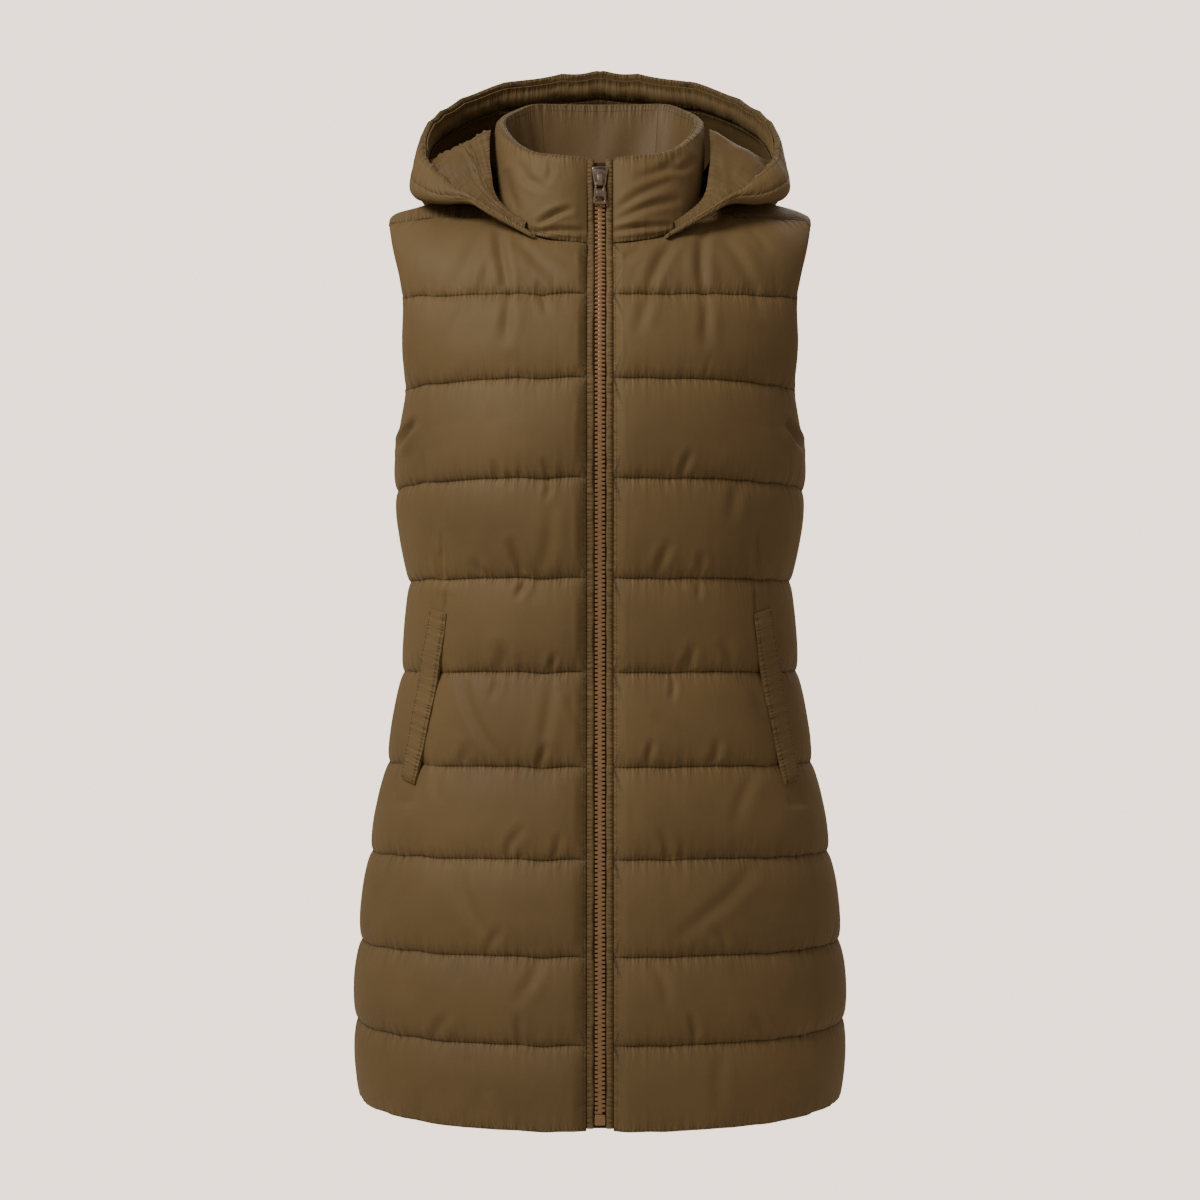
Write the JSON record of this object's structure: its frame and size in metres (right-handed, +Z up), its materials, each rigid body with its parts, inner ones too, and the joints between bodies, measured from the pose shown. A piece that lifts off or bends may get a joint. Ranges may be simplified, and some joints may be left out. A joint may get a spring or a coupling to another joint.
{
  "type": "hooded quilted vest",
  "caption": "Long sleeveless quilted vest with a stand collar, lying-back hood, full front zip and slanted welt pockets, filled out as worn and hollow inside.",
  "frame": {"origin": "on the centre plane, midway between the two shoulder tips and level with them, where the wearer's shoulders hold the vest", "axes": "+Z up along the body, the front with the zip faces -Y, +X is the wearer's left"},
  "size_m": [0.4682, 0.375, 1.0061],
  "materials": {
    "shell": "satin olive-brown nylon",
    "lining": "glossy olive-brown lining satin",
    "tape": "matt woven zip tape",
    "teeth": "coppery brown moulded teeth",
    "metal": "antiqued dark brass"
  },
  "bodies": {
    "vest": {"front_left": "shell", "front_right": "shell", "back": "shell", "collar": "shell", "collar_facing_back": "lining", "collar_facing_left": "lining", "collar_facing_right": "lining", "hood_side_left": "shell", "hood_side_right": "shell", "hood_crown": "shell", "hood_lining": "lining", "hood_casing": "shell", "pocket_welt_left": "shell", "pocket_welt_right": "shell", "zip_edge_left": "shell", "zip_edge_right": "shell", "zip_tape_left": "tape", "zip_tape_right": "tape", "zip_chain": "teeth", "zip_box": "metal", "zip_slider": "metal"},
    "pull_tab": {"zip_pull": "metal"}
  },
  "joints": [
    {"name": "pull_swing", "type": "hinge", "parent": "vest", "child": "pull_tab", "pos_m": [0, -0.08903, 0.01625], "axis": [-1, 0, 0], "range_deg": [0, 140]}
  ]
}
